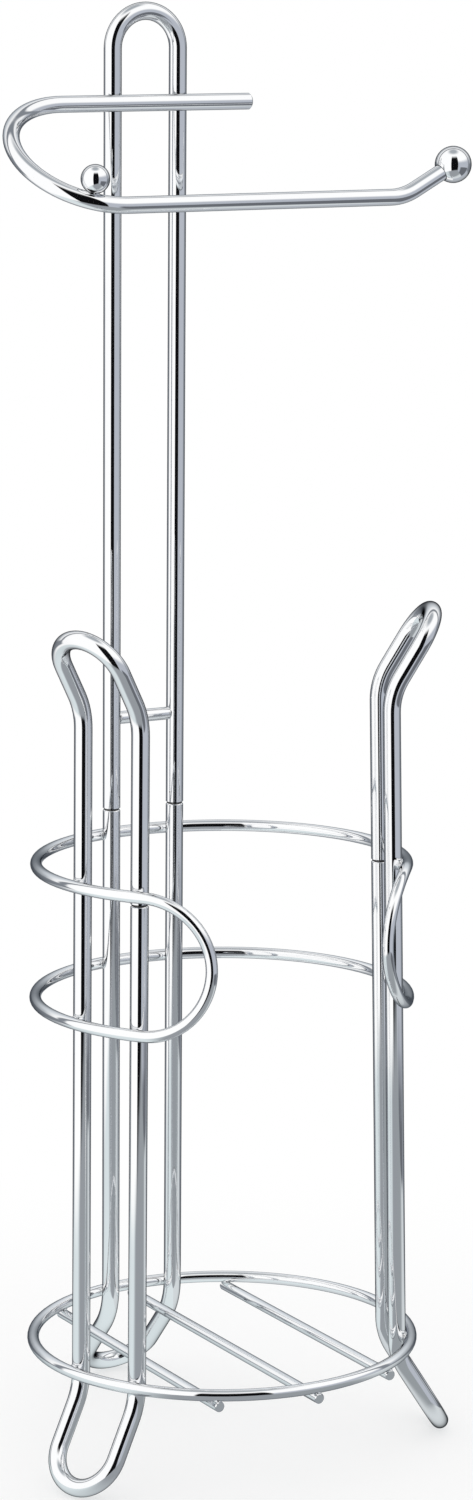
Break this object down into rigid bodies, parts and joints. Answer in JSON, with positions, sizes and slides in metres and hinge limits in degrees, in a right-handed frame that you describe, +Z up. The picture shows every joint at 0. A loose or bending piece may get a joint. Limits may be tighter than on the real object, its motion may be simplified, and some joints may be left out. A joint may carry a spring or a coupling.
{
  "type": "toilet roll storage holder",
  "caption": "Free-standing chrome wire toilet roll holder: a stem with a looped roll arm plugs on to a round wire basket on hairpin legs that stores spare rolls.",
  "frame": {"origin": "on the floor, on the axis of the basket's rings", "axes": "+Z up, +Y to the rear leg and stem, +X to the free end of the roll arm"},
  "size_m": [0.214, 0.1931, 0.61],
  "materials": {
    "chrome_tube": "polished",
    "chrome_wire": "polished",
    "chrome_ball": "polished",
    "pin_steel": "plain turned"
  },
  "bodies": {
    "base": {"left_leg": "chrome_tube", "right_leg": "chrome_tube", "rear_leg": "chrome_tube", "base_ring": "chrome_wire", "floor_rod_left": "chrome_wire", "floor_rod_middle": "chrome_wire", "floor_rod_right": "chrome_wire", "storage_band": "chrome_wire", "left_leg_seam_pin": "pin_steel", "right_leg_seam_pin": "pin_steel", "stem_pin_left": "pin_steel", "stem_pin_right": "pin_steel"},
    "stem": {"stem_hoop": "chrome_tube", "stem_crossbar": "chrome_wire", "roll_arm": "chrome_wire", "arm_end_ball": "chrome_ball", "arm_stop_ball": "chrome_ball"}
  },
  "joints": [
    {"name": "stem_lift", "type": "slide", "parent": "base", "child": "stem", "axis": [0, -0.0148, 0.9999], "range_m": [0, 0.03]}
  ]
}
